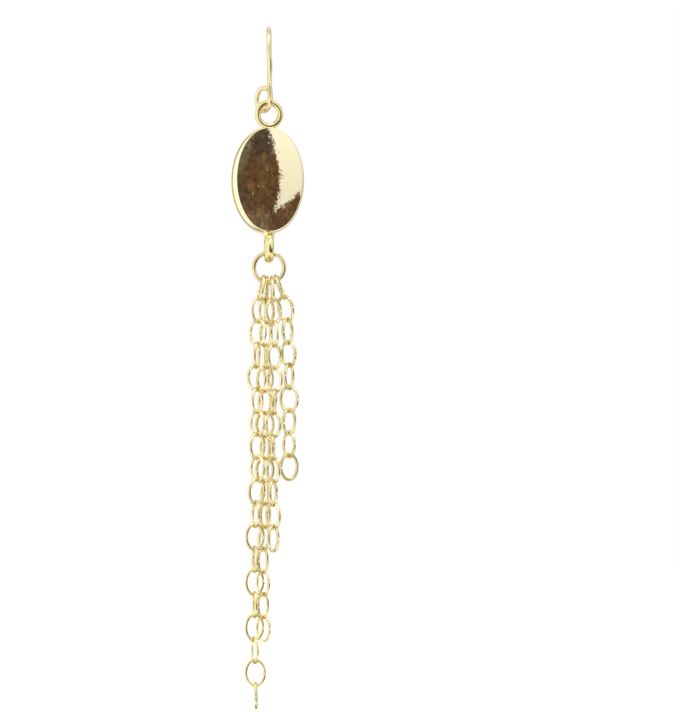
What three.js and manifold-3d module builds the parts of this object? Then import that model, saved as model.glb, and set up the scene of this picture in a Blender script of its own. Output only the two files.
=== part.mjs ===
// Dangle earring: an ear hook, a cast oval drop with two rings, a jump ring and four chains of links.
// Millimetres, +Z up. The wearer's side faces +Y and the drop's face looks along -Y.
// The origin is the inside top of the hook's bend, where the ear carries it.
import * as THREE from "three";
import { mergeVertices } from "three/addons/utils/BufferGeometryUtils.js";
import Module from "manifold-3d";

const wasm = await Module();
wasm.setup();

// Clearances
const METAL_GAP = 0.16; // between two loose pieces of metal that hang on each other
const SLANT_GAP = 0.12; // further clearance where their wires cross on a slant
const LINK_WELD = 0.1; // how far two linked links sink into each other, as a chain is one body

// Ear hook
const HOOK_WIRE = 0.8;
const HOOK_BEND_RADIUS = 4.2; // of the wire's centre line over the ear
const HOOK_BULGE = 0.15; // how far the front leg bows out past the bend
const HOOK_BULGE_DROP = 5.6; // from the origin down to the widest point of that bow
const HOOK_ROUNDING = 0.7; // how far the leg bows out halfway from there to the loop
const HOOK_LEAN = 0.24; // sideways bow of the front leg
const HOOK_TAIL_DROP = 11.6; // from the origin down to the tail's end
const HOOK_TAIL_FLARE = 1.0; // how far the tail's end turns away from the bend
const LOOP_RADIUS = 2.0; // of the wire's centre line round the loop
const LOOP_TURN = 127; // degrees from +X towards +Y, from the loop's stem to its far side
const LOOP_SWEEP = 294; // degrees of wire from the stem round to the loop's free end
const HOOK_HEIGHT = 13.82; // from the origin down to the wire's centre at the loop's lowest point
const LOOP_SEAT_BACK = 0.5; // how far the loop's lowest point lies behind the drop's plane
const LOOP_SEAT_SIDE = 0.65; // how far to the side the loop lies in the top ring, of the room there

// Oval drop
const DROP_YAW = 15; // degrees that the face is turned towards +X
const OVAL_WIDTH = 12.85;
const OVAL_HEIGHT = 18.7;
const OVAL_BEVEL = 0.67; // width of the rounded side between the face's crisp edge and the outline
const OVAL_END_BEVEL = 0.47; // its mean width at the top and bottom
const FACE_RAISE = 0.3; // how far the face's middle lies above the outline's
const OVAL_BEVEL_DEPTH = 1.6; // from the face's edge back to the widest section
const OVAL_DOME = 0.6; // how far the face swells
const OVAL_BACK_ROUND = 0.45; // radius of the edge between the side and the back
const OVAL_BACK_DOME = 0.15; // how far the back swells
const OVAL_SET_BACK = 1.0; // widest section behind the plane of the top ring
const TOP_RING_WIRE = 1.02;
const TOP_RING_HOLE = 3.0;
const TOP_RING_SINK = 0.45; // how far the ring runs into the oval's outline
const BOTTOM_RING_WIRE = 1.32;
const BOTTOM_RING_BREADTH = 1.6; // of its wire from side to side
const BOTTOM_RING_HOLE = 2.5;
const BOTTOM_RING_SINK = 0.2;
const BOTTOM_RING_TURN = 79; // degrees from the oval's plane
const NECK_WIDTH = 2.1; // of the cast neck between the oval's edge and the bottom ring
const NECK_DEPTH = 1.5;
const NECK_RISE = 0.3; // how far the neck runs up into the oval

// Jump ring
const JUMP_WIRE = 0.76;
const JUMP_OUTER = 5.96;

// Chains
const LINK_WIRE = 0.57;
const LINK_LENGTH = 4.95;
const LINK_WIDTH = 3.8;

// Facets
const WIRE_SIDES = 8;
const RING_SIDES = 10;
const RING_STEPS = 24;
const LINK_SIDES = 6;
const LINK_STEPS = 12;
const OVAL_STEPS = 44;
const HOOK_STEPS = 76;
const LOOP_POINT_TURN = 21; // degrees between the points that the loop's wire is drawn through
const BEND_POINT_TURN = 30;
const TAIL_STRAIGHT = 0.55; // share of the tail that runs straight down
const FACE_SHARES = [0, 0.35, 0.62, 0.84, 1]; // where the face's facets meet, of its radius
const BEVEL_TURNS = [30, 60, 90];
const BACK_TURNS = [45, 90];
const SAME_POINT = 1e-4;

// The chains from the longest to the shortest. hang is the first link's place along the jump ring,
// sideways from its middle. route holds [link, sideways, back] where a link ends, straight between,
// and turns holds each link's own twist about the chain in degrees from +X.
const CHAINS = [
  {
    name: "chain_longest",
    hang: -1.05,
    route: [[1, -1.6, -1.15], [2, -1.8, -1.45], [4, -2.2, -1.42], [5, -2.0, -1.45], [9, -1.98, -1.5],
      [11, -2.4, -1.3], [16, -2.5, -0.8], [19, -2.2, -0.6]],
    turns: [-80, 45, -35, 77, -27, 60, -47, 45, -47, 40, -70, 27, -77, 27, -80, 27, -72, 0, 88],
  },
  {
    name: "chain_second",
    hang: -0.36,
    route: [[1, -0.43, 1.25], [2, -0.5, 1.45], [5, -0.75, 1.4], [11, -0.7, 1.4], [12, -1.1, 1.4],
      [16, -1.0, 1.2]],
    turns: [88, -40, 55, -83, 38, -50, 30, -60, 30, -66, 62, -57, 62, -50, 60, -47],
  },
  {
    name: "chain_third",
    hang: 0.45,
    route: [[1, 0.75, -1.15], [2, 0.85, -1.4], [5, 1.05, -1.5], [6, 0.7, -1.5], [12, 0.75, -1.4]],
    turns: [-86, 42, -69, 52, -45, 82, -43, 86, -51, 70, -47, 60],
  },
  {
    name: "chain_shortest",
    hang: 1.2,
    route: [[1, 2.6, 0.8], [2, 3.1, 1.2], [4, 3.45, 1.3], [9, 3.45, 1.2]],
    turns: [85, -40, 62, -45, 66, -27, 53, -55, 30],
  },
];

const GOLD = new THREE.MeshStandardMaterial({ color: 0xd8b35c, roughness: 0.22, metalness: 1 });
const POLISHED_GOLD = new THREE.MeshStandardMaterial({ color: 0xd3ad58, roughness: 0.12, metalness: 1 });
const PALE_GOLD = new THREE.MeshStandardMaterial({ color: 0xe2c274, roughness: 0.25, metalness: 1 });
const DULL_GOLD = new THREE.MeshStandardMaterial({ color: 0xb99b58, roughness: 0.35, metalness: 1 });

const UP = new THREE.Vector3(0, 0, 1);
const radians = THREE.MathUtils.degToRad;

// A closed geometry as a solid, without the flat triangles that merging leaves at a pole.
function solidOf(geometry) {
  const bare = geometry.clone();
  bare.deleteAttribute("normal");
  bare.deleteAttribute("uv");
  const merged = mergeVertices(bare, SAME_POINT);
  const corners = merged.index.array;
  const kept = [];
  for (let i = 0; i < corners.length; i += 3) {
    const [a, b, c] = corners.slice(i, i + 3);
    if (a !== b && b !== c && c !== a) kept.push(a, b, c);
  }
  return new wasm.Manifold(
    new wasm.Mesh({
      numProp: 3,
      vertProperties: merged.attributes.position.array,
      triVerts: new Uint32Array(kept),
    }),
  );
}

function geometryOf(solid) {
  const mesh = solid.getMesh();
  const geometry = new THREE.BufferGeometry();
  geometry.setAttribute("position", new THREE.BufferAttribute(mesh.vertProperties, 3));
  geometry.setIndex(new THREE.BufferAttribute(mesh.triVerts, 1));
  geometry.computeVertexNormals();
  return geometry;
}

function joined(geometries) {
  return geometryOf(geometries.map(solidOf).reduce((whole, next) => whole.add(next)));
}

// A ring of round wire in the XZ plane, round or oval, with its long axis upright.
function wireRing(width, height, wire, steps, sides) {
  const across = (width - wire) / 2;
  const upright = (height - wire) / 2;
  const geometry = new THREE.TorusGeometry(across, wire / 2, sides, steps);
  const { position, uv } = geometry.attributes;
  for (let i = 0; i < position.count; i++) {
    const along = uv.getX(i) * 2 * Math.PI;
    const round = uv.getY(i) * 2 * Math.PI;
    const outward = new THREE.Vector2(upright * Math.cos(along), across * Math.sin(along)).normalize();
    const reach = (wire / 2) * Math.cos(round);
    position.setXYZ(
      i,
      across * Math.cos(along) + reach * outward.x,
      upright * Math.sin(along) + reach * outward.y,
      (wire / 2) * Math.sin(round),
    );
  }
  return geometry.rotateX(Math.PI / 2);
}

// Ear hook: one wire from the loop's free end, round the loop, up the front leg, over and down the tail
const loopAway = new THREE.Vector3(Math.cos(radians(LOOP_TURN)), Math.sin(radians(LOOP_TURN)), 0);
const ringSeat = TOP_RING_HOLE / 2 - HOOK_WIRE / 2 - METAL_GAP - SLANT_GAP; // from the top ring's centre
const loopRise = LOOP_SEAT_BACK ** 2 / (2 * LOOP_RADIUS); // of the wire where it crosses the drop's plane
const loopLow = new THREE.Vector3(
  -ringSeat * LOOP_SEAT_SIDE + (LOOP_SEAT_BACK * loopAway.x) / loopAway.y,
  LOOP_SEAT_BACK,
  -HOOK_HEIGHT,
);
const loopCentre = loopLow.clone().addScaledVector(UP, LOOP_RADIUS);

function loopPoint(degrees) {
  const angle = radians(degrees);
  return loopCentre
    .clone()
    .addScaledVector(loopAway, -LOOP_RADIUS * Math.cos(angle))
    .addScaledVector(UP, -LOOP_RADIUS * Math.sin(angle));
}

function hookPath() {
  const points = [];
  for (let turn = LOOP_SWEEP; turn > 0; turn -= LOOP_POINT_TURN) points.push(loopPoint(turn));
  const stem = loopPoint(0);
  const bendCentre = HOOK_WIRE / 2 - HOOK_BEND_RADIUS;
  const bow = new THREE.Vector3(HOOK_LEAN, -HOOK_BEND_RADIUS - HOOK_BULGE, -HOOK_BULGE_DROP);
  points.push(stem);
  points.push(stem.clone().lerp(bow, 0.5).add(new THREE.Vector3(-HOOK_LEAN / 2, -HOOK_ROUNDING, 0)));
  points.push(bow);
  for (let turn = 0; turn <= 180; turn += BEND_POINT_TURN) {
    const angle = radians(turn);
    const across = -HOOK_BEND_RADIUS * Math.cos(angle);
    points.push(new THREE.Vector3(0, across, bendCentre + HOOK_BEND_RADIUS * Math.sin(angle)));
  }
  const tailTurn = THREE.MathUtils.lerp(bendCentre, -HOOK_TAIL_DROP, TAIL_STRAIGHT);
  points.push(new THREE.Vector3(0, HOOK_BEND_RADIUS, tailTurn));
  points.push(new THREE.Vector3(0, HOOK_BEND_RADIUS + HOOK_TAIL_FLARE, -HOOK_TAIL_DROP));
  return new THREE.CatmullRomCurve3(points, false, "centripetal");
}

function earHook() {
  const section = new THREE.Shape();
  for (let side = 0; side < WIRE_SIDES; side++) {
    const angle = (side / WIRE_SIDES) * 2 * Math.PI;
    const x = (HOOK_WIRE / 2) * Math.cos(angle);
    const y = (HOOK_WIRE / 2) * Math.sin(angle);
    if (side === 0) section.moveTo(x, y);
    else section.lineTo(x, y);
  }
  section.closePath();
  const wire = new THREE.ExtrudeGeometry(section, { steps: HOOK_STEPS, extrudePath: hookPath() });
  return new THREE.Mesh(geometryOf(solidOf(wire)), GOLD);
}

// Oval drop: body and two rings cast in one piece, in the drop's own upright plane
const topRingOuter = TOP_RING_HOLE + 2 * TOP_RING_WIRE;
const bottomRingOuter = BOTTOM_RING_HOLE + 2 * BOTTOM_RING_WIRE;
const seatDrop = ringSeat * Math.sqrt(1 - LOOP_SEAT_SIDE ** 2);
const topRingZ = -HOOK_HEIGHT + loopRise - seatDrop;
const ovalTop = topRingZ - topRingOuter / 2 + TOP_RING_SINK;
const ovalCentreZ = ovalTop - OVAL_HEIGHT / 2;
const ovalBottom = ovalTop - OVAL_HEIGHT;
const bottomRingZ = ovalBottom - bottomRingOuter / 2 + BOTTOM_RING_SINK;

// Turned about the Y axis with the height as its diameter, then narrowed, with the face's bevel kept.
function ovalBody() {
  const radius = OVAL_HEIGHT / 2;
  const inner = radius - OVAL_END_BEVEL;
  const profile = [];
  for (const share of FACE_SHARES) {
    profile.push(new THREE.Vector2(inner * share, -OVAL_BEVEL_DEPTH - OVAL_DOME * (1 - share ** 2)));
  }
  for (const turn of BEVEL_TURNS) {
    const reach = OVAL_END_BEVEL * Math.sin(radians(turn));
    profile.push(new THREE.Vector2(inner + reach, -OVAL_BEVEL_DEPTH * Math.cos(radians(turn))));
  }
  for (const turn of BACK_TURNS) {
    const cut = OVAL_BACK_ROUND * (1 - Math.cos(radians(turn)));
    profile.push(new THREE.Vector2(radius - cut, OVAL_BACK_ROUND * Math.sin(radians(turn))));
  }
  profile.push(new THREE.Vector2(0, OVAL_BACK_ROUND + OVAL_BACK_DOME));
  const body = new THREE.LatheGeometry(profile, OVAL_STEPS);
  const { position } = body.attributes;
  for (let i = 0; i < position.count; i++) {
    const reach = Math.hypot(position.getX(i), position.getZ(i));
    const inward = Math.min((radius - reach) / OVAL_END_BEVEL, 1);
    const halfWidth = (OVAL_WIDTH / 2 - OVAL_BEVEL * inward) * Math.min(reach / inner, 1);
    if (reach > 0) position.setX(i, (position.getX(i) * halfWidth) / reach);
    if (position.getY(i) < 0) position.setZ(i, position.getZ(i) + FACE_RAISE * inward);
  }
  return body.translate(0, OVAL_SET_BACK, ovalCentreZ);
}

function ovalDrop() {
  const top = wireRing(topRingOuter, topRingOuter, TOP_RING_WIRE, RING_STEPS, RING_SIDES);
  top.translate(0, 0, topRingZ);
  const bottom = wireRing(bottomRingOuter, bottomRingOuter, BOTTOM_RING_WIRE, RING_STEPS, RING_SIDES);
  bottom.scale(1, BOTTOM_RING_BREADTH / BOTTOM_RING_WIRE, 1);
  bottom.rotateZ(radians(BOTTOM_RING_TURN)).translate(0, 0, bottomRingZ);
  const neckTop = ovalBottom + NECK_RISE;
  const neckHeight = neckTop - (bottomRingZ + bottomRingOuter / 2 - BOTTOM_RING_WIRE / 2);
  const neckEnds = [NECK_WIDTH / 2, BOTTOM_RING_BREADTH / 2];
  const neck = new THREE.CylinderGeometry(...neckEnds, neckHeight, RING_SIDES)
    .rotateX(Math.PI / 2)
    .scale(1, NECK_DEPTH / NECK_WIDTH, 1)
    .translate(0, 0, neckTop - neckHeight / 2);
  const mesh = new THREE.Mesh(joined([ovalBody(), top, bottom, neck]), POLISHED_GOLD);
  mesh.rotation.z = radians(DROP_YAW);
  return mesh;
}

// Jump ring: hangs in the bottom ring and faces the front
const bottomSeatZ = bottomRingZ - BOTTOM_RING_HOLE / 2 + METAL_GAP;
const jumpRingZ = bottomSeatZ + JUMP_WIRE - JUMP_OUTER / 2;
const jumpHoleRadius = JUMP_OUTER / 2 - JUMP_WIRE;

function jumpRing() {
  const ring = wireRing(JUMP_OUTER, JUMP_OUTER, JUMP_WIRE, RING_STEPS, RING_SIDES);
  const mesh = new THREE.Mesh(geometryOf(solidOf(ring)), DULL_GOLD);
  mesh.position.z = jumpRingZ;
  return mesh;
}

// Chains: each link hangs in the one above it
const linkHole = LINK_LENGTH - 2 * LINK_WIRE;
const linkPitch = linkHole + LINK_WELD;

function routeAt(chain, link) {
  const stops = [[0, chain.hang, 0], ...chain.route];
  const next = stops.findIndex((stop) => stop[0] >= link);
  const [from, to] = [stops[next - 1], stops[next]];
  const share = (link - from[0]) / (to[0] - from[0]);
  return new THREE.Vector2(
    THREE.MathUtils.lerp(from[1], to[1], share),
    THREE.MathUtils.lerp(from[2], to[2], share),
  );
}

function linksOf(chain) {
  const seatZ = jumpRingZ - Math.sqrt(jumpHoleRadius ** 2 - chain.hang ** 2);
  const hangZ = seatZ + METAL_GAP + SLANT_GAP;
  const seat = new THREE.Vector3(chain.hang, 0, hangZ);
  return chain.turns.map((turn, index) => {
    const end = routeAt(chain, index + 1);
    const shift = new THREE.Vector2(end.x - seat.x, end.y - seat.y);
    const drop = Math.sqrt(linkPitch ** 2 - shift.lengthSq());
    const axis = new THREE.Vector3(-shift.x, -shift.y, drop).normalize();
    const side = new THREE.Vector3(Math.cos(radians(turn)), Math.sin(radians(turn)), 0);
    side.addScaledVector(axis, -side.dot(axis)).normalize();
    const centre = seat.clone().addScaledVector(axis, -linkHole / 2);
    const placed = new THREE.Matrix4()
      .makeBasis(side, new THREE.Vector3().crossVectors(axis, side), axis)
      .setPosition(centre);
    seat.addScaledVector(axis, -linkPitch);
    return wireRing(LINK_WIDTH, LINK_LENGTH, LINK_WIRE, LINK_STEPS, LINK_SIDES).applyMatrix4(placed);
  });
}

function named(mesh, name) {
  mesh.name = name;
  return mesh;
}

const earring = new THREE.Group();
earring.add(named(earHook(), "ear_hook"));
earring.add(named(ovalDrop(), "oval_drop"));
earring.add(named(jumpRing(), "jump_ring"));
for (const chain of CHAINS) {
  earring.add(named(new THREE.Mesh(joined(linksOf(chain)), PALE_GOLD), chain.name));
}

export default earring;
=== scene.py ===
"""Dangle earring: an ear hook, a cast oval drop, a jump ring and four chains, in polished gold plate."""
import math

import bpy
import numpy as np
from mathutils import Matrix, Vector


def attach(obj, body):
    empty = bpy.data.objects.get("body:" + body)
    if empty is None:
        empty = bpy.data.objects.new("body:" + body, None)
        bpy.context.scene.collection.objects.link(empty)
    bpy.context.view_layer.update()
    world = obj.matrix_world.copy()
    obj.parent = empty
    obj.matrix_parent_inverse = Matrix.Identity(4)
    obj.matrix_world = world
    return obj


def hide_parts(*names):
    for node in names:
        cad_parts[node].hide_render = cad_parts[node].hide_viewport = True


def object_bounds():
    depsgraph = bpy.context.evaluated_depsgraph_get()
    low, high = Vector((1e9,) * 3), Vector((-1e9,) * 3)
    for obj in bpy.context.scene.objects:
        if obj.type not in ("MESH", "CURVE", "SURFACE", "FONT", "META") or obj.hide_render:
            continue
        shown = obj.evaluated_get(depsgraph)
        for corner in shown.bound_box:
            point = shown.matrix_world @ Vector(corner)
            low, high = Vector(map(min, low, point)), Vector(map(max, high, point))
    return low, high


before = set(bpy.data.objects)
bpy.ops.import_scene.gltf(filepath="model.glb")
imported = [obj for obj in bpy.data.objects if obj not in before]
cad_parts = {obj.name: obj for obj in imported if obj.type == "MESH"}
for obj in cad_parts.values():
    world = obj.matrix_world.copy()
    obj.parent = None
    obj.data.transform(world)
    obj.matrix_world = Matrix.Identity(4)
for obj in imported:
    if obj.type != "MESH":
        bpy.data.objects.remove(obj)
CAD_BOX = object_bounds()
MM = 0.001

# Sizes in millimetres and turns in degrees, as in the CAD part. LOOP_SEAT_SIDE is a share of RING_SEAT.
METAL_GAP = 0.16
SLANT_GAP = 0.12
LINK_WELD = 0.1
HOOK_WIRE = 0.8
HOOK_BEND_RADIUS = 4.2
HOOK_BULGE = 0.15
HOOK_BULGE_DROP = 5.6
HOOK_ROUNDING = 0.7
HOOK_LEAN = 0.24
HOOK_TAIL_DROP = 11.6
HOOK_TAIL_FLARE = 1.0
LOOP_RADIUS = 2.0
LOOP_TURN = 127
LOOP_SWEEP = 294
HOOK_HEIGHT = 13.82
LOOP_SEAT_BACK = 0.5
LOOP_SEAT_SIDE = 0.65
DROP_YAW = 15
OVAL_WIDTH = 12.85
OVAL_HEIGHT = 18.7
OVAL_BEVEL = 0.67
OVAL_END_BEVEL = 0.47
FACE_RAISE = 0.3
OVAL_BEVEL_DEPTH = 1.6
OVAL_DOME = 0.6
OVAL_BACK_ROUND = 0.45
OVAL_BACK_DOME = 0.15
OVAL_SET_BACK = 1.0
TOP_RING_SINK = 0.45
BOTTOM_RING_SINK = 0.2
TOP_RING_WIRE = 1.02
TOP_RING_HOLE = 3.0
BOTTOM_RING_WIRE = 1.32
BOTTOM_RING_BREADTH = 1.6
BOTTOM_RING_HOLE = 2.5
BOTTOM_RING_TURN = 79
NECK_WIDTH = 2.1
NECK_DEPTH = 1.5
NECK_RISE = 0.3
JUMP_WIRE = 0.76
JUMP_OUTER = 5.96
LINK_WIRE = 0.57
LINK_LENGTH = 4.95
LINK_WIDTH = 3.8

# How far the neck reaches into the bottom ring, as a share of that ring's wire
NECK_FOOT = 0.7

# The share of the hook's tail that hangs straight, before it flares
TAIL_STRAIGHT = 0.55

# Thin cuts where the ends of a ring's wire meet: gaps in millimetres, turns in degrees
JUMP_CUT_TURN = -48
JUMP_CUT = 0.05
LINK_CUT_WANDER = 7
LINK_CUT = 0.025

# The chains from the longest to the shortest. hang is the first link's place along the jump ring,
# route holds (link, sideways, back) where a link ends, and turns is each link's twist in degrees.
CHAINS = [
    dict(
        name="chain_longest",
        hang=-1.05,
        route=[(1, -1.6, -1.15), (2, -1.8, -1.45), (4, -2.2, -1.42), (5, -2.0, -1.45), (9, -1.98, -1.5),
               (11, -2.4, -1.3), (16, -2.5, -0.8), (19, -2.2, -0.6)],
        turns=[-80, 45, -35, 77, -27, 60, -47, 45, -47, 40, -70, 27, -77, 27, -80, 27, -72, 0, 88],
    ),
    dict(
        name="chain_second",
        hang=-0.36,
        route=[(1, -0.43, 1.25), (2, -0.5, 1.45), (5, -0.75, 1.4), (11, -0.7, 1.4), (12, -1.1, 1.4),
               (16, -1.0, 1.2)],
        turns=[88, -40, 55, -83, 38, -50, 30, -60, 30, -66, 62, -57, 62, -50, 60, -47],
    ),
    dict(
        name="chain_third",
        hang=0.45,
        route=[(1, 0.75, -1.15), (2, 0.85, -1.4), (5, 1.05, -1.5), (6, 0.7, -1.5), (12, 0.75, -1.4)],
        turns=[-86, 42, -69, 52, -45, 82, -43, 86, -51, 70, -47, 60],
    ),
    dict(
        name="chain_shortest",
        hang=1.2,
        route=[(1, 2.6, 0.8), (2, 3.1, 1.2), (4, 3.45, 1.3), (9, 3.45, 1.2)],
        turns=[85, -40, 62, -45, 66, -27, 53, -55, 30],
    ),
]

# Fineness of the meshes. A ring's is (steps along its wire, sides of its wire).
CURVE_STEPS = 24
HOOK_SAMPLES = 260
HOOK_SIDES = 20
LOOP_POINT_TURN = 21
BEND_POINT_TURN = 30
TIP_STEPS = 5
TIP_TURN = 80
CAST_RING_STEPS = (96, 28)
JUMP_RING_STEPS = (120, 24)
LINK_STEPS = (56, 16)
NECK_SIDES = 32
NECK_LEVELS = 17
OVAL_STEPS = 144

# Sections of the oval from the front to the back, each as (first, last, how many)
FACE_SHARES = (0.04, 0.985, 26)
BEVEL_TURNS = (2, 90, 16)
BACK_TURNS = (12, 90, 8)
BACK_SHARES = (0.97, 0.04, 14)

# Photograph: its size, its scale, and where the inside top of the hook's bend lies in it, in pixels
PHOTO_SIZE = (680, 725)
PHOTO_SCALE = 5.8
PHOTO_ORIGIN = (269, 31)

UP = np.array([0.0, 0.0, 1.0])
SIDEWAYS = np.array([1.0, 0.0, 0.0])


def unit(vector):
    return vector / np.linalg.norm(vector)


# Meshes

def mesh_object(name, parts):
    """One object from (vertices in millimetres, faces) parts, shaded smooth."""
    vertices, faces = [], []
    for points, polygons in parts:
        start = len(vertices)
        vertices.extend((np.asarray(points) * MM).tolist())
        faces.extend([tuple(start + corner for corner in polygon) for polygon in polygons])
    mesh = bpy.data.meshes.new(name)
    mesh.from_pydata(vertices, [], faces)
    mesh.validate()
    mesh.polygons.foreach_set("use_smooth", [True] * len(mesh.polygons))
    made = bpy.data.objects.new(name, mesh)
    bpy.context.scene.collection.objects.link(made)
    return made


def tube_faces(rings, sides, closed):
    """Quads between the rings of a tube, and its two end faces where it is open."""
    faces = []
    for ring in range(rings if closed else rings - 1):
        here, there = ring * sides, ((ring + 1) % rings) * sides
        for side in range(sides):
            after = (side + 1) % sides
            faces.append((here + side, here + after, there + after, there + side))
    if not closed:
        faces.append(tuple(reversed(range(sides))))
        faces.append(tuple(range((rings - 1) * sides, rings * sides)))
    return faces


def wire_along(points, radius, sides, tips):
    """An open wire along points, with ends rounded over in as many steps as tips."""
    points = np.asarray(points)
    tangents = np.gradient(points, axis=0)
    tangents /= np.linalg.norm(tangents, axis=1)[:, None]
    any_direction = np.array([1.0, 0.3, 0.2])
    across = unit(np.cross(tangents[0], any_direction))
    sections = []
    for point, tangent in zip(points, tangents):
        across = unit(across - tangent * (across @ tangent))
        sections.append((point, tangent, across, np.cross(tangent, across), 1.0))
    first, last = sections[0], sections[-1]
    for step in range(1, tips + 1):
        angle = math.radians(TIP_TURN * step / tips)
        reach, size = radius * math.sin(angle), math.cos(angle)
        sections.insert(0, (first[0] - first[1] * reach, *first[1:4], size))
        sections.append((last[0] + last[1] * reach, *last[1:4], size))
    vertices = []
    for point, _, u, v, size in sections:
        for side in range(sides):
            angle = 2 * math.pi * side / sides
            vertices.append(point + radius * size * (math.cos(angle) * u + math.sin(angle) * v))
    return vertices, tube_faces(len(sections), sides, False)


def wire_ring(size, wire, fineness, centre, side_axis, long_axis, cut=None, breadth=None):
    """A ring of wire, round or oval by its size (width, height), that breadth makes wider.

    cut is (degrees, gap) where its two ends meet.
    """
    steps, sides = fineness
    across, upright = (size[0] - wire) / 2, (size[1] - wire) / 2
    normal = np.cross(side_axis, long_axis) * (breadth or wire) / wire
    if cut:
        half = math.degrees(cut[1] / 2 / across)
        angles = np.linspace(cut[0] + half, cut[0] + 360 - half, steps + 1)
    else:
        angles = np.linspace(0, 360, steps, endpoint=False)
    vertices = []
    for angle in np.radians(angles):
        c, s = math.cos(angle), math.sin(angle)
        middle = centre + across * c * side_axis + upright * s * long_axis
        outward = unit(upright * c * side_axis + across * s * long_axis)
        for step in range(sides):
            turn = 2 * math.pi * step / sides
            vertices.append(middle + wire / 2 * (math.cos(turn) * outward + math.sin(turn) * normal))
    faces = tube_faces(len(angles), sides, not cut)
    return vertices, [tuple(reversed(face)) for face in faces]


def smooth_route(points, samples):
    """A centripetal Catmull-Rom curve through points, in equal steps of length."""
    points = np.asarray(points, float)
    points = np.vstack([2 * points[0] - points[1], points, 2 * points[-1] - points[-2]])
    dense = []
    for p0, p1, p2, p3 in zip(points, points[1:], points[2:], points[3:]):
        t1 = np.linalg.norm(p1 - p0) ** 0.5
        t2 = t1 + np.linalg.norm(p2 - p1) ** 0.5
        t3 = t2 + np.linalg.norm(p3 - p2) ** 0.5
        for t in np.linspace(t1, t2, CURVE_STEPS, endpoint=False):
            a1 = (t1 - t) / t1 * p0 + t / t1 * p1
            a2 = (t2 - t) / (t2 - t1) * p1 + (t - t1) / (t2 - t1) * p2
            a3 = (t3 - t) / (t3 - t2) * p2 + (t - t2) / (t3 - t2) * p3
            b1 = (t2 - t) / t2 * a1 + t / t2 * a2
            b2 = (t3 - t) / (t3 - t1) * a2 + (t - t1) / (t3 - t1) * a3
            dense.append((t2 - t) / (t2 - t1) * b1 + (t - t1) / (t2 - t1) * b2)
    dense.append(points[-2])
    dense = np.array(dense)
    length = np.concatenate([[0], np.cumsum(np.linalg.norm(np.diff(dense, axis=0), axis=1))])
    wanted = np.linspace(0, length[-1], samples)
    return np.stack([np.interp(wanted, length, dense[:, axis]) for axis in range(3)], axis=1)


# Places worked out from the sizes

TOP_RING_OUTER = TOP_RING_HOLE + 2 * TOP_RING_WIRE
BOTTOM_RING_OUTER = BOTTOM_RING_HOLE + 2 * BOTTOM_RING_WIRE
RING_SEAT = TOP_RING_HOLE / 2 - HOOK_WIRE / 2 - METAL_GAP - SLANT_GAP
LOOP_AWAY = np.array([math.cos(math.radians(LOOP_TURN)), math.sin(math.radians(LOOP_TURN)), 0])
LOOP_CENTRE = np.array([
    -RING_SEAT * LOOP_SEAT_SIDE + LOOP_SEAT_BACK * LOOP_AWAY[0] / LOOP_AWAY[1],
    LOOP_SEAT_BACK,
    LOOP_RADIUS - HOOK_HEIGHT,
])
LOOP_RISE = LOOP_SEAT_BACK ** 2 / (2 * LOOP_RADIUS)
TOP_RING_Z = LOOP_RISE - HOOK_HEIGHT - RING_SEAT * math.sqrt(1 - LOOP_SEAT_SIDE ** 2)
OVAL_TOP = TOP_RING_Z - TOP_RING_OUTER / 2 + TOP_RING_SINK
OVAL_CENTRE_Z = OVAL_TOP - OVAL_HEIGHT / 2
OVAL_BOTTOM = OVAL_TOP - OVAL_HEIGHT
BOTTOM_RING_Z = OVAL_BOTTOM - BOTTOM_RING_OUTER / 2 + BOTTOM_RING_SINK
JUMP_RING_Z = BOTTOM_RING_Z - BOTTOM_RING_HOLE / 2 + METAL_GAP + JUMP_WIRE - JUMP_OUTER / 2
LINK_HOLE = LINK_LENGTH - 2 * LINK_WIRE
LINK_PITCH = LINK_HOLE + LINK_WELD


# Shader nodes

class Nodes:
    """A short way to add and link shader nodes."""

    def __init__(self, tree):
        self.tree = tree
        self.tree.nodes.clear()

    def add(self, kind, inputs=None, **settings):
        node = self.tree.nodes.new(kind)
        for key, value in settings.items():
            setattr(node, key, value)
        for key, value in (inputs or {}).items():
            socket = node.inputs[key]
            if isinstance(value, bpy.types.NodeSocket):
                self.tree.links.new(value, socket)
            else:
                socket.default_value = value
        return node

    def math(self, operation, *values):
        return self.add("ShaderNodeMath", dict(enumerate(values)), operation=operation).outputs[0]

    def product(self, *values):
        result = values[0]
        for value in values[1:]:
            result = self.math("MULTIPLY", result, value)
        return result

    def vector(self, operation, *values):
        return self.add("ShaderNodeVectorMath", dict(enumerate(values)), operation=operation).outputs[0]

    def scaled(self, colour, amount):
        return self.add("ShaderNodeVectorMath", {0: colour, "Scale": amount}, operation="SCALE").outputs[0]

    def step(self, value, low, high):
        """0 below low and 1 above high, smooth between."""
        inputs = {"Value": value, "From Min": low, "From Max": high}
        return self.add("ShaderNodeMapRange", inputs, interpolation_type="SMOOTHSTEP").outputs["Result"]

    def until(self, value, low, high):
        """1 below low and 0 above high, smooth between."""
        return self.step(value, high, low)

    def spread(self, value, low, high, to_low, to_high):
        """The range from low to high stretched straight to the one from to_low to to_high."""
        inputs = {"Value": value, "From Min": low, "From Max": high, "To Min": to_low, "To Max": to_high}
        return self.add("ShaderNodeMapRange", inputs).outputs["Result"]

    def noise(self, place, density, detail, roughness, output="Fac"):
        inputs = {"Vector": place, "Scale": density, "Detail": detail, "Roughness": roughness}
        return self.add("ShaderNodeTexNoise", inputs).outputs[output]

    def mix(self, share, first, second):
        inputs = {"Factor": share, 6: first, 7: second}
        return self.add("ShaderNodeMix", inputs, data_type="RGBA").outputs[2]


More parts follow.
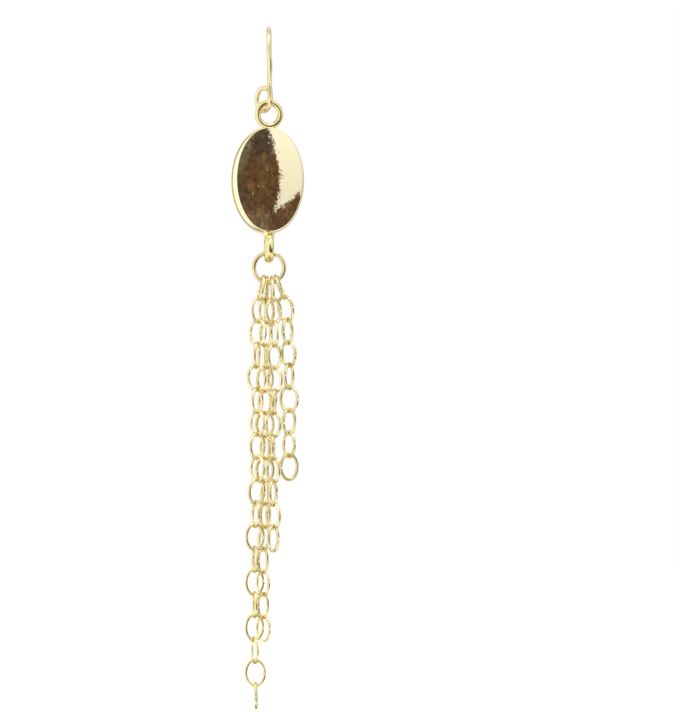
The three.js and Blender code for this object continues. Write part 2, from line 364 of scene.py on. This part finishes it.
# Gold plate. A noise is (density per metre, detail, roughness), and a step (where it starts, where it
# ends). Distances are in metres.
DRIFT_NOISE = (420, 3.0, 0.5)
DRIFT_STEP = (0.35, 0.7)
HAZE_NOISE = (1500, 4.0, 0.65)
HAZE_STEP = (0.45, 0.8)
HAZE_ROUGHNESS = 0.06
SPECK_DENSITY = 1100.0
SPECK_RARITY = 0.84
SPECK_RADIUS = 0.17
SPECK_ROUGHNESS = 0.22
SPECK_BUMP = {"Strength": 0.3, "Distance": 0.1 * MM}
WAVE_DETAIL = 4.0
WAVE_ROUGHNESS = 0.7
# Painted shade in crevices: how far it looks for nearby metal, and where it starts and ends
CREVICE_SHADE_REACH = 1.5 * MM
CREVICE_SHADE_STEP = (0.2, 0.92)
# Painted shade on the drop's cast rings and neck: where it starts past the oval's ends, from its middle
RING_SHADE_STEP = (OVAL_HEIGHT / 2 * MM - 0.6 * MM, OVAL_HEIGHT / 2 * MM + 0.4 * MM)

# The crevice and rings colours are painted shade, not colours of the metal
GOLDS = {
    "hook_gold": dict(
        bright=(0.90, 0.82, 0.54, 1), deep=(0.82, 0.72, 0.42, 1), crevice_shade=(0.66, 0.38, 0.09, 1),
        roughness=0.26, tip=(0.03, 0.03), density=1500,
    ),
    "drop_gold": dict(
        bright=(0.95, 0.88, 0.62, 1), deep=(0.93, 0.85, 0.58, 1), rings=(0.82, 0.74, 0.37, 1),
        roughness=0.03, tip=(0.08, 0.035), density=1300,
    ),
    "ring_gold": dict(
        bright=(0.86, 0.77, 0.48, 1), deep=(0.72, 0.60, 0.32, 1),
        roughness=0.22, tip=(0.04, 0.04), density=1500,
    ),
    "chain_gold": dict(
        bright=(0.95, 0.88, 0.60, 1), deep=(0.76, 0.65, 0.32, 1), crevice_shade=(0.86, 0.60, 0.16, 1),
        roughness=0.14, tip=(0.03, 0.03), density=1500,
    ),
}


def gold(name, bright, deep, roughness, tip, density, crevice_shade=None, rings=None):
    """Polished plate: a colour that drifts between bright and deep, haze, fine waves and a few specks.

    tip is how far the waves tip the surface (across, up), and density how closely they lie.
    The crevice colour is painted shade, darker and deeper where links and wires touch, and the rings colour
    is painted shade, a darker copy of the gold on the drop's two cast rings.
    """
    material = bpy.data.materials.new(name)
    material.use_nodes = True
    nodes = Nodes(material.node_tree)
    place = nodes.add("ShaderNodeTexCoord").outputs["Object"]
    colour = nodes.mix(nodes.step(nodes.noise(place, *DRIFT_NOISE), *DRIFT_STEP), bright, deep)
    # Painted shade: a darker copy of the gold past the oval's ends, on its cast rings and neck
    if rings:
        height = nodes.add("ShaderNodeSeparateXYZ", {"Vector": place}).outputs["Z"]
        reach = nodes.math("ABSOLUTE", nodes.math("SUBTRACT", height, OVAL_CENTRE_Z * MM))
        colour = nodes.mix(nodes.step(reach, *RING_SHADE_STEP), colour, rings)
    # Painted shade: a darker, deeper gold where nearby metal closes the surface in
    if crevice_shade:
        openness = nodes.add("ShaderNodeAmbientOcclusion", {"Distance": CREVICE_SHADE_REACH}).outputs["AO"]
        colour = nodes.mix(nodes.step(openness, *CREVICE_SHADE_STEP), crevice_shade, colour)
    haze = nodes.step(nodes.noise(place, *HAZE_NOISE), *HAZE_STEP)
    cells = nodes.add("ShaderNodeTexVoronoi", {"Vector": place, "Scale": SPECK_DENSITY}).outputs
    chance = nodes.add("ShaderNodeSeparateColor", {"Color": cells["Color"]}).outputs[0]
    rare = nodes.math("GREATER_THAN", chance, SPECK_RARITY)
    speck = nodes.product(rare, nodes.math("LESS_THAN", cells["Distance"], SPECK_RADIUS))
    rough = nodes.math("MULTIPLY_ADD", haze, HAZE_ROUGHNESS, roughness)
    rough = nodes.math("MULTIPLY_ADD", speck, SPECK_ROUGHNESS, rough)
    waves = nodes.noise(place, density, WAVE_DETAIL, WAVE_ROUGHNESS, output="Color")
    middle = nodes.vector("SUBTRACT", waves, (0.5, 0.5, 0.5))
    tilt = nodes.vector("MULTIPLY", middle, (tip[0], tip[0], tip[1]))
    upright = nodes.add("ShaderNodeNewGeometry").outputs["Normal"]
    tipped = nodes.vector("NORMALIZE", nodes.vector("ADD", upright, tilt))
    bump = nodes.add("ShaderNodeBump", {**SPECK_BUMP, "Height": speck, "Normal": tipped})
    shader = nodes.add("ShaderNodeBsdfPrincipled", {
        "Base Color": colour, "Metallic": 1.0, "Roughness": rough, "Normal": bump.outputs["Normal"],
    })
    nodes.add("ShaderNodeOutputMaterial", {"Surface": shader.outputs["BSDF"]})
    return material


MATERIALS = {name: gold(name, **look) for name, look in GOLDS.items()}


def dress(piece, slot, body, *nodes):
    piece.data.materials.append(MATERIALS[slot])
    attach(piece, body)
    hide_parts(*nodes)


# Ear hook: one wire from the loop's free end, round the loop, up the front leg, over and down the tail

def loop_point(degrees):
    angle = math.radians(degrees)
    return LOOP_CENTRE - LOOP_RADIUS * (math.cos(angle) * LOOP_AWAY + math.sin(angle) * UP)


def hook_route():
    points = [loop_point(turn) for turn in np.arange(LOOP_SWEEP, 0, -LOOP_POINT_TURN)]
    stem = loop_point(0)
    bend_centre = HOOK_WIRE / 2 - HOOK_BEND_RADIUS
    bow = np.array([HOOK_LEAN, -HOOK_BEND_RADIUS - HOOK_BULGE, -HOOK_BULGE_DROP])
    points += [stem, (stem + bow) / 2 - np.array([HOOK_LEAN / 2, HOOK_ROUNDING, 0]), bow]
    for turn in np.radians(np.arange(0, 181, BEND_POINT_TURN)):
        across = -HOOK_BEND_RADIUS * math.cos(turn)
        points.append(np.array([0, across, bend_centre + HOOK_BEND_RADIUS * math.sin(turn)]))
    low = -HOOK_TAIL_DROP
    points.append(np.array([0, HOOK_BEND_RADIUS, bend_centre + (low - bend_centre) * TAIL_STRAIGHT]))
    points.append(np.array([0, HOOK_BEND_RADIUS + HOOK_TAIL_FLARE, low]))
    return smooth_route(points, HOOK_SAMPLES)


def ear_hook():
    wire = wire_along(hook_route(), HOOK_WIRE / 2, HOOK_SIDES, TIP_STEPS)
    piece = mesh_object("ear_hook_wire", [wire])
    dress(piece, "hook_gold", "hook", "ear_hook")


# Oval drop: a crisp-edged domed face, a rounded side and a nearly flat back, with a ring at each end

def oval_profile():
    """(half width, half height, rise of the middle, depth) of each section, from the front to the back."""
    face = (OVAL_WIDTH / 2 - OVAL_BEVEL, OVAL_HEIGHT / 2 - OVAL_END_BEVEL)
    back = (OVAL_WIDTH / 2 - OVAL_BACK_ROUND, OVAL_HEIGHT / 2 - OVAL_BACK_ROUND)
    rows = []
    for share in np.linspace(*FACE_SHARES):
        swell = OVAL_DOME * (1 - share ** 2)
        rows.append((face[0] * share, face[1] * share, FACE_RAISE, -OVAL_BEVEL_DEPTH - swell))
    for turn in np.radians(np.linspace(*BEVEL_TURNS)):
        inward = 1 - math.sin(turn)
        rows.append((OVAL_WIDTH / 2 - OVAL_BEVEL * inward, OVAL_HEIGHT / 2 - OVAL_END_BEVEL * inward,
                     FACE_RAISE * inward, -OVAL_BEVEL_DEPTH * math.cos(turn)))
    for turn in np.radians(np.linspace(*BACK_TURNS)):
        cut = OVAL_BACK_ROUND * (1 - math.cos(turn))
        rows.append((OVAL_WIDTH / 2 - cut, OVAL_HEIGHT / 2 - cut, 0, OVAL_BACK_ROUND * math.sin(turn)))
    for share in np.linspace(*BACK_SHARES):
        swell = OVAL_BACK_DOME * (1 - share ** 2)
        rows.append((back[0] * share, back[1] * share, 0, OVAL_BACK_ROUND + swell))
    return rows


def oval_body():
    vertices, faces = [], []
    rows = oval_profile()
    for half_width, half_height, rise, depth in rows:
        for angle in np.linspace(0, 2 * math.pi, OVAL_STEPS, endpoint=False):
            vertices.append((half_width * math.sin(angle), depth + OVAL_SET_BACK,
                             OVAL_CENTRE_Z + rise + half_height * math.cos(angle)))
    for row in range(len(rows) - 1):
        here, there = row * OVAL_STEPS, (row + 1) * OVAL_STEPS
        for step in range(OVAL_STEPS):
            after = (step + 1) % OVAL_STEPS
            faces.append((here + step, there + step, there + after, here + after))
    faces.append(tuple(range(OVAL_STEPS)))
    faces.append(tuple(reversed(range((len(rows) - 1) * OVAL_STEPS, len(rows) * OVAL_STEPS))))
    return np.array(vertices), faces


def turned(points, degrees):
    """Points turned about the Z axis."""
    angle = math.radians(degrees)
    c, s = math.cos(angle), math.sin(angle)
    x, y, z = np.asarray(points).T
    return np.stack([c * x - s * y, s * x + c * y, z], axis=1)


def neck():
    """A short cast neck that flares from the bottom ring up into the oval's edge."""
    low = BOTTOM_RING_Z + BOTTOM_RING_OUTER / 2 - BOTTOM_RING_WIRE * NECK_FOOT
    high = OVAL_BOTTOM + NECK_RISE
    vertices = []
    for level in np.linspace(0, 1, NECK_LEVELS):
        z = low + (high - low) * level
        reach = BOTTOM_RING_BREADTH / 2 + (NECK_WIDTH - BOTTOM_RING_BREADTH) / 2 * level
        depth = reach * NECK_DEPTH / NECK_WIDTH
        for side in range(NECK_SIDES):
            angle = 2 * math.pi * side / NECK_SIDES
            vertices.append((reach * math.cos(angle), depth * math.sin(angle), z))
    return np.array(vertices), tube_faces(NECK_LEVELS, NECK_SIDES, False)


def oval_drop():
    turn = math.radians(BOTTOM_RING_TURN)
    bottom_axis = np.array([math.cos(turn), math.sin(turn), 0])
    top_size = (TOP_RING_OUTER, TOP_RING_OUTER)
    top_centre = np.array([0, 0, TOP_RING_Z])
    bottom_size = (BOTTOM_RING_OUTER, BOTTOM_RING_OUTER)
    bottom_centre = np.array([0, 0, BOTTOM_RING_Z])
    parts = [
        oval_body(),
        wire_ring(top_size, TOP_RING_WIRE, CAST_RING_STEPS, top_centre, SIDEWAYS, UP),
        wire_ring(bottom_size, BOTTOM_RING_WIRE, CAST_RING_STEPS, bottom_centre, bottom_axis, UP,
                  breadth=BOTTOM_RING_BREADTH),
        neck(),
    ]
    piece = mesh_object("oval_drop_casting", [(turned(points, DROP_YAW), faces) for points, faces in parts])
    dress(piece, "drop_gold", "drop", "oval_drop")


# Jump ring: its two ends meet in a thin cut

def jump_ring():
    size = (JUMP_OUTER, JUMP_OUTER)
    centre = np.array([0, 0, JUMP_RING_Z])
    ring = wire_ring(size, JUMP_WIRE, JUMP_RING_STEPS, centre, SIDEWAYS, UP, cut=(JUMP_CUT_TURN, JUMP_CUT))
    piece = mesh_object("jump_ring_wire", [ring])
    dress(piece, "ring_gold", "drop", "jump_ring")


# Chains: each link hangs in the one above it

def route_at(chain, link):
    stops = [(0, chain["hang"], 0.0), *chain["route"]]
    numbers = [stop[0] for stop in stops]
    return np.array([np.interp(link, numbers, [stop[axis] for stop in stops]) for axis in (1, 2)])


def links_of(chain):
    hole_radius = JUMP_OUTER / 2 - JUMP_WIRE
    seat_z = JUMP_RING_Z - math.sqrt(hole_radius ** 2 - chain["hang"] ** 2) + METAL_GAP + SLANT_GAP
    seat = np.array([chain["hang"], 0.0, seat_z])
    for number, turn in enumerate(chain["turns"], 1):
        shift = route_at(chain, number) - seat[:2]
        axis = unit(np.array([-shift[0], -shift[1], math.sqrt(LINK_PITCH ** 2 - shift @ shift)]))
        side = np.array([math.cos(math.radians(turn)), math.sin(math.radians(turn)), 0.0])
        side = unit(side - axis * (side @ axis))
        centre = seat - axis * LINK_HOLE / 2
        seat = seat - axis * LINK_PITCH
        cut_turn = 180 * (number % 2) + LINK_CUT_WANDER * math.sin(number)
        yield wire_ring((LINK_WIDTH, LINK_LENGTH), LINK_WIRE, LINK_STEPS, centre, side, axis,
                        cut=(cut_turn, LINK_CUT))


def chains():
    for chain in CHAINS:
        piece = mesh_object(chain["name"] + "_links", list(links_of(chain)))
        dress(piece, "chain_gold", "drop", chain["name"])


# Studio: a white tent with a dark gap in front of the drop and dimmer sides behind it.
# Angles are in degrees, to the right of straight ahead and above the horizon, as the drop sees them.
# A pair is (where a change starts, where it ends).

# Colours of the tent: its front, its sides, the wall behind the drop, its top and its foot
WHITE = (1.16, 1.15, 1.12, 1)
DIM_RIGHT = (0.24, 0.22, 0.13, 1)
DIM_LEFT = (0.45, 0.42, 0.27, 1)
BACK = (0.95, 0.93, 0.86, 1)
CEILING = (0.90, 0.87, 0.74, 1)
FOOT = (0.42, 0.37, 0.22, 1)

# Where the tent changes from one colour to the next. It is turned a little to the left.
TENT_TURN = 5.0
TENT_END = (114.0, 132.0)
BACK_WALL = (140.0, 156.0)
TENT_CAP = (46.0, 74.0)
DIM_CHANGE = (-20.0, 20.0)

# Shade on the wall right of the gap, as (low, high, shade at low, shade at high), and a darker strip
# at its far end. Both fade out above and below.
WALL_SHADE = (-12.0, 14.0, 0.72, 0.93)
WALL_START = (0.0, 1.0)
WALL_END = (62.0, 80.0)
WALL_HEIGHT = (22.0, 44.0)
STRIP_START = (60.0, 66.0)
STRIP_END = (94.0, 104.0)
STRIP_SHADE = -0.28

# Shape of the gap. Its right edge is upright from GAP_FOOT_BEND to GAP_TOP_BEND and leans in past them.
GAP_START = (-4.0, 0.0)
GAP_EDGE = 37.0
GAP_EDGE_SOFTNESS = (-0.5, 0.5)
GAP_TOP_BEND = 4.5
GAP_FOOT_BEND = -1.0
GAP_LEAN = 0.6
GAP_TOP = (28.0, 34.0)
GAP_FOOT = (-34.0, -26.0)
RAGGED_NOISE = (50.0, 3.0, 0.7)
RAGGED_WIDTH = 14.0

# The apron that carries the dark on to the right low down, under a line that rises
APRON_SLOPE = 0.465
APRON_START_HEIGHT = -8.1
APRON_SOFTNESS = (-0.4, 0.4)
APRON_START = (-7.0, -5.0)
APRON_END = (66.0, 78.0)

# Colours in the gap
DARK = (0.128, 0.068, 0.038, 1)
DARK_HIGH = (0.080, 0.056, 0.053, 1)
DARK_LOW = (0.23, 0.165, 0.10, 1)
DARK_OLIVE = (0.17, 0.125, 0.05, 1)
DARK_EDGE = (0.31, 0.27, 0.165, 1)

# Where each of them lies, and how much of it is mixed in
HIGH_HEIGHT = (4.0, 14.0)
LOW_HEIGHT = (-12.0, -5.0)
LOW_LEFT = (23.0, 33.0)
LOW_RIGHT = (36.0, 46.0)
LOW_RIGHT_SHARE = 0.6
EDGE_SLANT = -0.9
EDGE_REACH = (1.0, 7.0)
EDGE_HEIGHT = (0.0, 6.0)
EDGE_SHARE = 0.8
OLIVE_NOISE = (7.0, 2.0, 0.5)
OLIVE_STEP = (0.5, 0.66)
OLIVE_SHARE = 0.35
VIOLET_NOISE = (4.0, 1.0, 0.5)
VIOLET_STEP = (0.52, 0.62)
VIOLET_HEIGHT = (-12.0, -6.0)
VIOLET_START = (24.0, 32.0)
VIOLET_SHARE = 0.5

# Mottle of the dark: flattened blotches and a fine grain, spread as (low, high, darkest, lightest)
BLOTCH_FLATNESS = (1, 1, 2.3)
BLOTCH_NOISE = (11.0, 7.0, 0.9)
BLOTCH_SPREAD = (0.35, 0.65, 0.25, 1.75)
GRAIN_NOISE = (45.0, 2.0, 0.7)
GRAIN_SPREAD = (0.3, 0.7, 0.55, 1.5)


def past_gap(nodes, right, above):
    """How many degrees to the right of the gap's edge a direction is."""
    high = nodes.math("MAXIMUM", nodes.math("SUBTRACT", above, GAP_TOP_BEND), 0.0)
    low = nodes.math("MAXIMUM", nodes.math("SUBTRACT", GAP_FOOT_BEND, above), 0.0)
    lean = nodes.product(nodes.math("ADD", high, low), GAP_LEAN)
    return nodes.math("SUBTRACT", right, nodes.math("SUBTRACT", GAP_EDGE, lean))


def dark_share(nodes, direction, right, above, past):
    """1 in the gap and on the apron, and 0 elsewhere."""
    ragged = nodes.noise(direction, *RAGGED_NOISE)
    ragged = nodes.math("MULTIPLY_ADD", ragged, RAGGED_WIDTH, -RAGGED_WIDTH / 2)
    gap = nodes.until(nodes.math("ADD", past, ragged), *GAP_EDGE_SOFTNESS)
    gap = nodes.product(gap, nodes.step(right, *GAP_START), nodes.until(above, *GAP_TOP))
    apron_line = nodes.math("MULTIPLY_ADD", past, APRON_SLOPE, APRON_START_HEIGHT)
    apron = nodes.until(nodes.math("SUBTRACT", above, apron_line), *APRON_SOFTNESS)
    apron = nodes.product(apron, nodes.step(past, *APRON_START), nodes.until(right, *APRON_END))
    return nodes.product(nodes.math("MAXIMUM", gap, apron), nodes.step(above, *GAP_FOOT))


def dark_colour(nodes, direction, right, above):
    """Dark brown, with other tones high up, low down, along the left edge and in patches."""
    colour = nodes.mix(nodes.step(above, *HIGH_HEIGHT), DARK, DARK_HIGH)
    low_right = nodes.product(nodes.step(right, *LOW_RIGHT), LOW_RIGHT_SHARE)
    low_sides = nodes.math("MAXIMUM", nodes.until(right, *LOW_LEFT), low_right)
    low_sides = nodes.product(nodes.until(above, *LOW_HEIGHT), low_sides)
    colour = nodes.mix(low_sides, colour, DARK_LOW)
    outward = nodes.math("MULTIPLY_ADD", above, EDGE_SLANT, right)
    near_edge = nodes.product(nodes.until(outward, *EDGE_REACH), nodes.step(above, *EDGE_HEIGHT), EDGE_SHARE)
    colour = nodes.mix(near_edge, colour, DARK_EDGE)
    olive = nodes.step(nodes.noise(direction, *OLIVE_NOISE), *OLIVE_STEP)
    colour = nodes.mix(nodes.product(olive, OLIVE_SHARE), colour, DARK_OLIVE)
    violet = nodes.step(nodes.noise(direction, *VIOLET_NOISE), *VIOLET_STEP)
    low_middle = nodes.product(nodes.until(above, *VIOLET_HEIGHT), nodes.step(right, *VIOLET_START))
    violet = nodes.math("MAXIMUM", violet, low_middle)
    colour = nodes.mix(nodes.product(violet, VIOLET_SHARE), colour, DARK_HIGH)
    flatter = nodes.vector("MULTIPLY", direction, BLOTCH_FLATNESS)
    blotch = nodes.spread(nodes.noise(flatter, *BLOTCH_NOISE), *BLOTCH_SPREAD)
    grain = nodes.spread(nodes.noise(direction, *GRAIN_NOISE), *GRAIN_SPREAD)
    return nodes.scaled(colour, nodes.product(blotch, grain))


def tent_colour(nodes, right, above, past):
    """White in front, dim at the sides, pale behind, above and below, and shaded right of the gap."""
    aside = nodes.math("ABSOLUTE", nodes.math("ADD", right, TENT_TURN))
    dim = nodes.mix(nodes.step(right, *DIM_CHANGE), DIM_LEFT, DIM_RIGHT)
    tent = nodes.mix(nodes.step(aside, *TENT_END), WHITE, dim)
    tent = nodes.mix(nodes.step(aside, *BACK_WALL), tent, BACK)
    tent = nodes.mix(nodes.step(above, *TENT_CAP), tent, CEILING)
    tent = nodes.mix(nodes.step(nodes.product(above, -1.0), *TENT_CAP), tent, FOOT)
    level = nodes.until(nodes.math("ABSOLUTE", above), *WALL_HEIGHT)
    beside = nodes.product(nodes.step(past, *WALL_START), nodes.until(right, *WALL_END), level)
    fall = nodes.spread(above, *WALL_SHADE)
    shade = nodes.add("ShaderNodeMix", {"Factor": beside, 2: 1.0, 3: fall}).outputs[0]
    strip = nodes.math("SUBTRACT", nodes.step(right, *STRIP_START), nodes.step(right, *STRIP_END))
    shade = nodes.math("MULTIPLY_ADD", nodes.product(strip, level), STRIP_SHADE, shade)
    return nodes.scaled(tent, shade)


def studio_light():
    world = bpy.data.worlds.new("studio")
    world.use_nodes = True
    bpy.context.scene.world = world
    nodes = Nodes(world.node_tree)
    direction = nodes.add("ShaderNodeTexCoord").outputs["Generated"]
    axes = nodes.add("ShaderNodeSeparateXYZ", {"Vector": direction}).outputs
    forward = nodes.product(axes["Y"], -1.0)
    right = nodes.math("DEGREES", nodes.math("ARCTAN2", axes["X"], forward))
    above = nodes.math("DEGREES", nodes.math("ARCSINE", axes["Z"]))
    past = past_gap(nodes, right, above)
    tent = tent_colour(nodes, right, above, past)
    dark = dark_share(nodes, direction, right, above, past)
    seen = nodes.mix(dark, tent, dark_colour(nodes, direction, right, above))
    camera_ray = nodes.add("ShaderNodeLightPath").outputs["Is Camera Ray"]
    shown = nodes.mix(camera_ray, seen, (1, 1, 1, 1))
    background = nodes.add("ShaderNodeBackground", {"Color": shown, "Strength": 1.0})
    nodes.add("ShaderNodeOutputWorld", {"Surface": background.outputs["Background"]})


# Floor: plain and pale, in millimetres
FLOOR_CLEARANCE = 12
FLOOR_HALF = 900
FLOOR_NOISE = (6, 2.0, 0.5)
FLOOR_TONES = ((0.93, 0.93, 0.93, 1), (0.96, 0.96, 0.96, 1))
FLOOR_ROUGHNESS = 0.9
FLOOR_GLOW = 0.6


def floor():
    level = CAD_BOX[0].z / MM - FLOOR_CLEARANCE
    corners = [(-1, -1), (1, -1), (1, 1), (-1, 1)]
    vertices = [(x * FLOOR_HALF, y * FLOOR_HALF, level) for x, y in corners]
    plane = mesh_object("floor", [(vertices, [(0, 1, 2, 3)])])
    material = bpy.data.materials.new("floor_white")
    material.use_nodes = True
    nodes = Nodes(material.node_tree)
    place = nodes.add("ShaderNodeTexCoord").outputs["Object"]
    tone = nodes.mix(nodes.noise(place, *FLOOR_NOISE), *FLOOR_TONES)
    shader = nodes.add("ShaderNodeBsdfPrincipled", {
        "Base Color": tone, "Roughness": FLOOR_ROUGHNESS,
        "Emission Color": (1, 1, 1, 1), "Emission Strength": FLOOR_GLOW,
    })
    nodes.add("ShaderNodeOutputMaterial", {"Surface": shader.outputs["BSDF"]})
    plane.data.materials.append(material)
    plane.visible_glossy = False


# Softbox in front of the earring, up and to its right, in metres
SOFTBOX_SIZE = 0.5
SOFTBOX_ENERGY = 2.0
SOFTBOX_PLACE = (0.25, -0.35, 0.75)
SOFTBOX_AIM = (0, 0, -0.06)


def key_light():
    light = bpy.data.lights.new("softbox", "AREA")
    light.shape = "DISK"
    light.size = SOFTBOX_SIZE
    light.energy = SOFTBOX_ENERGY
    lamp = bpy.data.objects.new("softbox", light)
    lamp.location = SOFTBOX_PLACE
    aim = np.array(SOFTBOX_AIM) - np.array(lamp.location)
    lamp.rotation_euler = (math.atan2(math.hypot(aim[0], aim[1]), -aim[2]), 0, math.atan2(aim[0], -aim[1]))
    bpy.context.scene.collection.objects.link(lamp)


# Camera: straight in front, with the photograph's frame at the depth of the drop
CAMERA_DISTANCE = 0.9
CAMERA_SENSOR = 36
CAMERA_CLIP = (0.01, 10)


def camera():
    data = bpy.data.cameras.new("camera")
    data.sensor_width = CAMERA_SENSOR
    frame_height = max(PHOTO_SIZE) / PHOTO_SCALE * MM
    data.lens = CAMERA_SENSOR * CAMERA_DISTANCE / frame_height
    data.clip_start, data.clip_end = CAMERA_CLIP
    made = bpy.data.objects.new("camera", data)
    x = (PHOTO_SIZE[0] / 2 - PHOTO_ORIGIN[0]) / PHOTO_SCALE * MM
    z = (PHOTO_ORIGIN[1] - PHOTO_SIZE[1] / 2) / PHOTO_SCALE * MM
    made.location = (x, -CAMERA_DISTANCE, z)
    made.rotation_euler = (math.pi / 2, 0, 0)
    bpy.context.scene.collection.objects.link(made)
    bpy.context.scene.camera = made


ear_hook()
oval_drop()
jump_ring()
chains()
studio_light()
key_light()
floor()
camera()
bpy.context.scene.view_settings.view_transform = "Standard"
